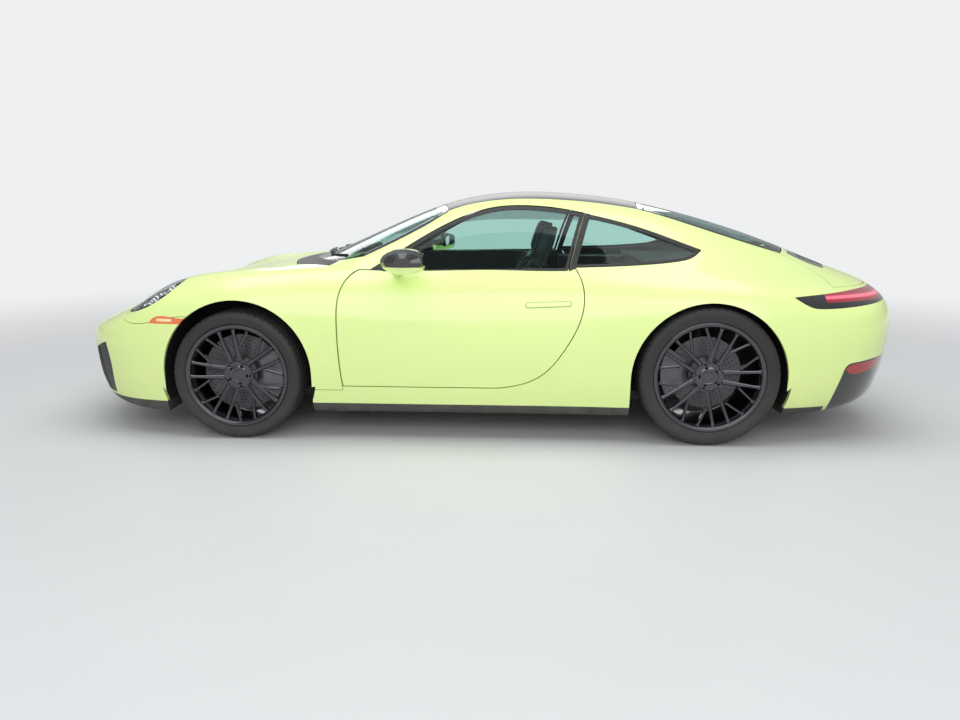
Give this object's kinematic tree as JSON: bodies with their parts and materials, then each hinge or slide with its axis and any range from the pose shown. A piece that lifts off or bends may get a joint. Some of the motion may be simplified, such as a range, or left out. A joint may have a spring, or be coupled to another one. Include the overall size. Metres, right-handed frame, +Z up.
{
  "type": "coupe car",
  "caption": "Low rear-engined coupe car in pale lime paint with a sloping black roof panel, forked alloy wheels, opening doors and lids.",
  "frame": {"origin": "on the ground, halfway along the car and halfway across it", "axes": "-X towards the nose, -Y to the car's left side, +Z up"},
  "size_m": [4.553, 2.034, 1.2918],
  "materials": {
    "paint": "gloss",
    "black_gloss": "gloss",
    "black_plastic": "matte",
    "tinted_glass": "gloss",
    "lamp_glass": "gloss",
    "red_lamp": "gloss",
    "amber_lamp": "gloss",
    "steel": "satin",
    "alloy": "gloss",
    "cast_alloy": "satin",
    "tyre_rubber": "matte",
    "upholstery": "matte",
    "mirror": "gloss",
    "iron": "satin"
  },
  "bodies": {
    "body": {"body_shell": "paint", "front_structure": "black_plastic", "floor_pan": "black_plastic", "rear_structure": "black_plastic", "front_fenders": "paint", "front_bumper": "paint", "front_trim": "black_plastic", "rear_bumper": "paint", "rear_diffuser": "black_gloss", "underbody": "black_plastic", "cowl": "black_plastic", "roof_panel": "black_gloss", "windscreen": "tinted_glass", "rear_window": "tinted_glass", "quarter_windows": "tinted_glass", "headlamps": "lamp_glass", "tail_lamps": "red_lamp", "side_markers": "amber_lamp", "rear_reflectors": "red_lamp", "exhaust": "steel", "engine": "cast_alloy", "front_seats": "upholstery", "rear_seats": "upholstery", "dashboard": "black_plastic", "front_suspension": "steel", "rear_suspension": "steel"},
    "front_lid": {"front_lid": "paint"},
    "rear_lid": {"rear_lid": "paint", "rear_grille": "black_gloss"},
    "steering_wheel": {"steering_wheel": "upholstery"},
    "door_left": {"door_left": "paint", "door_glass_left": "tinted_glass", "mirror_left": "black_gloss", "mirror_glass_left": "mirror"},
    "knuckle_left": {"knuckle_left": "cast_alloy"},
    "wheel_front_left": {"tyre_front_left": "tyre_rubber", "rim_front_left": "alloy", "brake_disc_front_left": "iron"},
    "wheel_rear_left": {"tyre_rear_left": "tyre_rubber", "rim_rear_left": "alloy", "brake_disc_rear_left": "iron"},
    "door_right": {"door_right": "paint", "door_glass_right": "tinted_glass", "mirror_right": "black_gloss", "mirror_glass_right": "mirror"},
    "knuckle_right": {"knuckle_right": "cast_alloy"},
    "wheel_front_right": {"tyre_front_right": "tyre_rubber", "rim_front_right": "alloy", "brake_disc_front_right": "iron"},
    "wheel_rear_right": {"tyre_rear_right": "tyre_rubber", "rim_rear_right": "alloy", "brake_disc_rear_right": "iron"}
  },
  "joints": [
    {"name": "door_left_hinge", "type": "hinge", "parent": "body", "child": "door_left", "pos_m": [-0.73, -0.905, 0.58], "axis": [0, 0, -1], "range_deg": [0, 66]},
    {"name": "steer_left", "type": "hinge", "parent": "body", "child": "knuckle_left", "pos_m": [-1.2665, -0.715, 0.34], "axis": [0, 0, 1], "range_deg": [-33, 33]},
    {"name": "spin_front_left", "type": "hinge", "parent": "knuckle_left", "child": "wheel_front_left", "pos_m": [-1.2665, -0.79, 0.34], "axis": [0, 1, 0], "continuous": true},
    {"name": "spin_rear_left", "type": "hinge", "parent": "body", "child": "wheel_rear_left", "pos_m": [1.1835, -0.76, 0.361], "axis": [0, 1, 0], "continuous": true},
    {"name": "door_right_hinge", "type": "hinge", "parent": "body", "child": "door_right", "pos_m": [-0.73, 0.905, 0.58], "axis": [0, 0, 1], "range_deg": [0, 66]},
    {"name": "steer_right", "type": "hinge", "parent": "body", "child": "knuckle_right", "pos_m": [-1.2665, 0.715, 0.34], "axis": [0, 0, 1], "range_deg": [-33, 33]},
    {"name": "spin_front_right", "type": "hinge", "parent": "knuckle_right", "child": "wheel_front_right", "pos_m": [-1.2665, 0.79, 0.34], "axis": [0, 1, 0], "continuous": true},
    {"name": "spin_rear_right", "type": "hinge", "parent": "body", "child": "wheel_rear_right", "pos_m": [1.1835, 0.76, 0.361], "axis": [0, 1, 0], "continuous": true},
    {"name": "front_lid_hinge", "type": "hinge", "parent": "body", "child": "front_lid", "pos_m": [-0.988, 0, 0.892], "axis": [0, 1, 0], "range_deg": [0, 58]},
    {"name": "rear_lid_hinge", "type": "hinge", "parent": "body", "child": "rear_lid", "pos_m": [1.645, 0, 0.995], "axis": [0, -1, 0], "range_deg": [0, 55]},
    {"name": "steering_wheel_turn", "type": "hinge", "parent": "body", "child": "steering_wheel", "pos_m": [-0.33, -0.37, 0.79], "axis": [0.9272, 0, 0.3746], "range_deg": [-462, 462]}
  ],
  "couplings": [
    {"joint": "steer_right", "follows": "steer_left", "ratio": 1},
    {"joint": "steering_wheel_turn", "follows": "steer_left", "ratio": 14}
  ]
}
